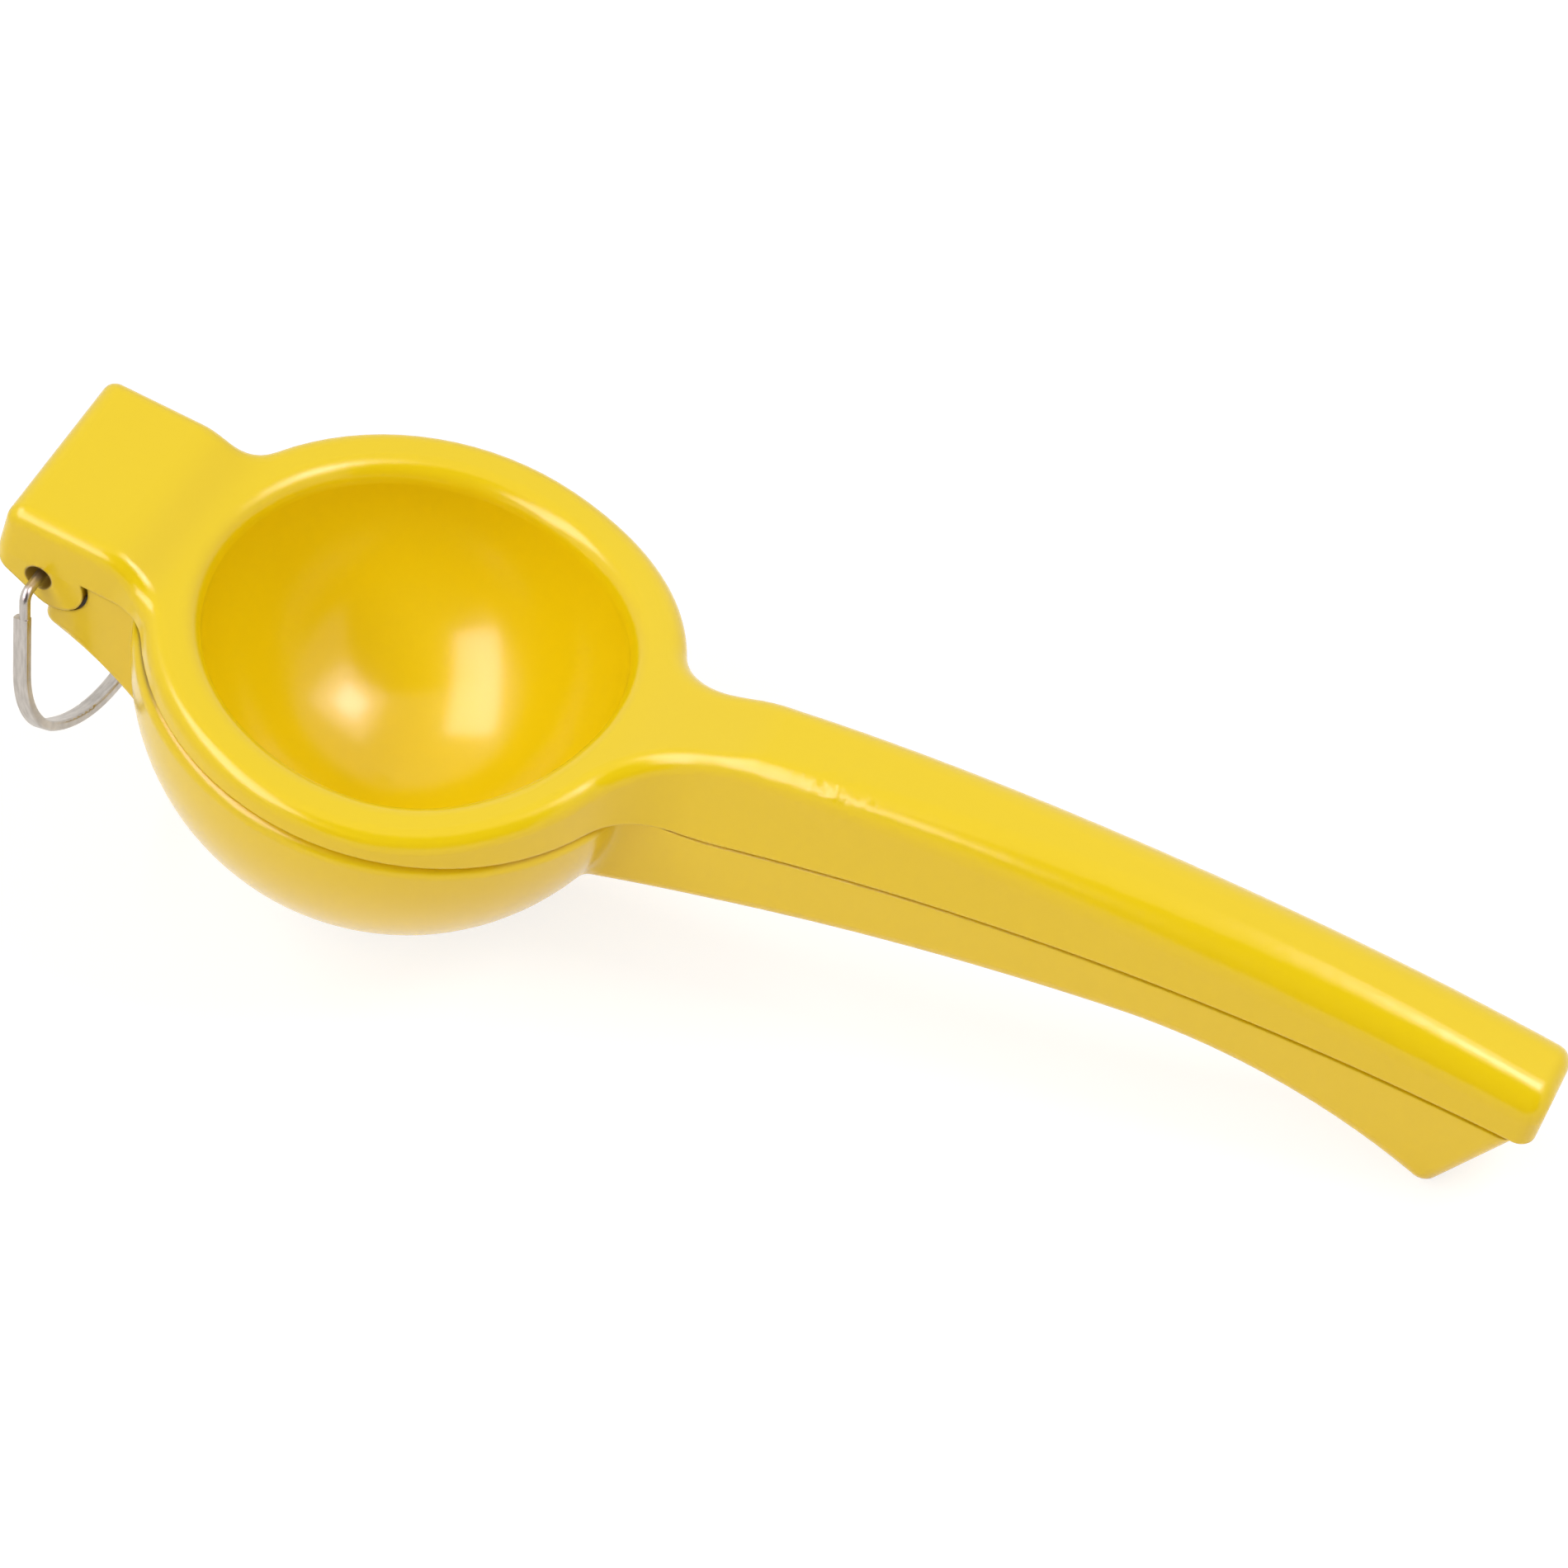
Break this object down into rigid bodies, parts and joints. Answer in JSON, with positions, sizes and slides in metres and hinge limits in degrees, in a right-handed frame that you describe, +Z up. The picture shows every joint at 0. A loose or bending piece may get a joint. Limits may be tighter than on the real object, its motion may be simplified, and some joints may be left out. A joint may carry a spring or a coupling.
{
  "type": "lemon squeezer",
  "caption": "Hinged hand press for citrus: a domed press closes into a round strainer bowl between two curved handles, with a wire loop at the hinge to hang it by.",
  "frame": {"origin": "middle of the closed tool's box, on the table that it lies on", "axes": "+X from the hinge to the handle ends, +Z up, Y across the mirror plane"},
  "size_m": [0.2282, 0.0782, 0.0631],
  "materials": {
    "yellow_enamel": "gloss",
    "pin_steel": "satin",
    "loop_steel": "satin"
  },
  "bodies": {
    "strainer": {"strainer_arm": "yellow_enamel", "hinge_pin": "pin_steel"},
    "press": {"press_arm": "yellow_enamel"},
    "loop": {"hanging_loop": "loop_steel"}
  },
  "joints": [
    {"name": "press_hinge", "type": "hinge", "parent": "strainer", "child": "press", "pos_m": [-0.10737, 0, 0.05222], "axis": [0, -1, 0], "range_deg": [0, 90]},
    {"name": "loop_swing", "type": "hinge", "parent": "strainer", "child": "loop", "pos_m": [-0.10737, 0, 0.05222], "axis": [0, -1, 0], "range_deg": [-150, 21]}
  ]
}
